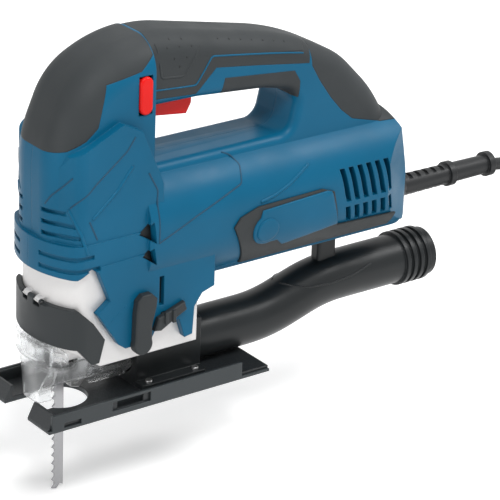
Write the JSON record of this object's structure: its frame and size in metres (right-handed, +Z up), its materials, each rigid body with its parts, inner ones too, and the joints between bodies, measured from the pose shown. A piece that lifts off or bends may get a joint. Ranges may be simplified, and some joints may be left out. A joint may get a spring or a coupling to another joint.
{
  "type": "jigsaw",
  "caption": "Corded D-handle jigsaw with tilting base, reciprocating blade, orbital lever, clear dust hood and dust tube; motor, gear and yoke drive inside.",
  "frame": {"origin": "middle of the sole's underside, between its front and rear edges and its sides", "axes": "+X rearwards along the cut, +Y the user's right, +Z up"},
  "size_m": [0.4763, 0.1066, 0.2602],
  "materials": {
    "shell_blue": "fine moulded texture, satin",
    "rubber_black": "soft-touch moulded rubber, matt",
    "plastic_grey": "moulded, matt",
    "plastic_black": "moulded, satin",
    "shoe_black": "smooth glide plastic",
    "plate_dark": "dark coated steel",
    "red_plastic": "glossy moulded",
    "case_silver": "die-cast, fine blasted",
    "hood_clear": "clear polycarbonate",
    "steel": "ground steel",
    "sleeve_dark": "blackened",
    "blade_steel": "rolled, ground teeth",
    "bronze": "sintered bronze",
    "copper": "enamelled wire",
    "carbon": "pressed carbon",
    "cord_black": "rubber sheath, satin",
    "plug_black": "moulded"
  },
  "bodies": {
    "tool": {"housing_left": "shell_blue", "housing_right": "shell_blue", "front_grip": "rubber_black", "top_grip": "rubber_black", "rear_grip": "rubber_black", "finger_pad": "rubber_black", "side_bumper_left": "rubber_black", "side_bumper_right": "rubber_black", "handle_band": "plastic_grey", "switch_module": "plastic_black", "electronics_module": "plastic_black", "cord_clamp": "plastic_black", "brush_holders": "plastic_black", "gear_case": "case_silver", "bearing_plate": "case_silver", "dust_hood": "hood_clear", "fork_pin": "steel", "gear_stud": "steel", "front_bearing": "steel", "rear_bearing": "steel", "stator_core": "steel", "housing_screws": "steel", "release_pin": "steel", "brush_springs": "steel", "plunger_bush_lower": "bronze", "plunger_bush_upper": "bronze", "field_coils": "copper", "carbon_brushes": "carbon", "inner_lead": "cord_black", "cord_boot": "cord_black", "cord_lead": "cord_black", "cord_coil": "cord_black", "cord_tail": "cord_black", "plug": "plug_black"},
    "base": {"base_plate": "plate_dark", "glide_shoe": "shoe_black", "tilt_segment": "plastic_black", "base_screws": "steel", "dust_tube": "plastic_black"},
    "plunger_set": {"plunger": "steel", "yoke": "steel", "blade_clamp": "steel", "clamp_sleeve": "sleeve_dark", "saw_blade": "blade_steel"},
    "fork": {"roller_fork": "steel", "roller_pin": "steel"},
    "roller": {"guide_roller": "steel"},
    "armature": {"armature_shaft": "steel", "armature_core": "steel", "armature_windings": "copper", "commutator": "bronze", "cooling_fan": "plastic_black"},
    "gear": {"drive_gear": "steel", "crank_pin": "steel", "crank_roller": "steel"},
    "trigger": {"trigger": "red_plastic"},
    "lock_button": {"lock_button": "red_plastic"},
    "orbital_lever": {"orbital_lever": "plastic_grey"},
    "blower_switch": {"blower_switch": "plastic_grey"},
    "release_lever": {"release_lever": "plastic_grey"}
  },
  "joints": [
    {"name": "base_tilt", "type": "hinge", "parent": "tool", "child": "base", "pos_m": [0, 0, 0.003], "axis": [1, 0, 0], "range_deg": [-45, 45]},
    {"name": "blade_stroke", "type": "slide", "parent": "tool", "child": "plunger_set", "axis": [0, 0, 1], "range_m": [0, 0.026]},
    {"name": "fork_swing", "type": "hinge", "parent": "tool", "child": "fork", "pos_m": [-0.032, 0, 0.034], "axis": [0, -1, 0], "range_deg": [0, 4.5]},
    {"name": "roller_spin", "type": "hinge", "parent": "fork", "child": "roller", "pos_m": [-0.0383, 0, 0.012], "axis": [0, 1, 0], "continuous": true},
    {"name": "armature_spin", "type": "hinge", "parent": "tool", "child": "armature", "pos_m": [0, 0, 0.097], "axis": [1, 0, 0], "continuous": true},
    {"name": "gear_spin", "type": "hinge", "parent": "tool", "child": "gear", "pos_m": [0, 0, 0.069], "axis": [1, 0, 0], "continuous": true},
    {"name": "trigger_pull", "type": "slide", "parent": "tool", "child": "trigger", "axis": [0, 0, 1], "range_m": [0, 0.005], "stiffness_N_per_m": 900, "springref_m": -0.001},
    {"name": "lock_press", "type": "slide", "parent": "tool", "child": "lock_button", "axis": [0, 1, 0], "range_m": [0, 0.003], "stiffness_N_per_m": 700, "springref_m": -0.0005},
    {"name": "orbital_select", "type": "hinge", "parent": "tool", "child": "orbital_lever", "pos_m": [-0.015, 0, 0.0394], "axis": [0, -1, 0], "range_deg": [0, 60]},
    {"name": "blower_slide", "type": "slide", "parent": "tool", "child": "blower_switch", "axis": [1, 0, 0], "range_m": [0, 0.005]},
    {"name": "release_flip", "type": "hinge", "parent": "tool", "child": "release_lever", "pos_m": [-0.0629, 0, 0.066], "axis": [0, 1, 0], "range_deg": [0, 40], "stiffness_Nm_per_rad": 0.15, "springref_deg": -11.46}
  ],
  "couplings": [
    {"joint": "gear_spin", "follows": "armature_spin", "ratio": -0.16667}
  ]
}
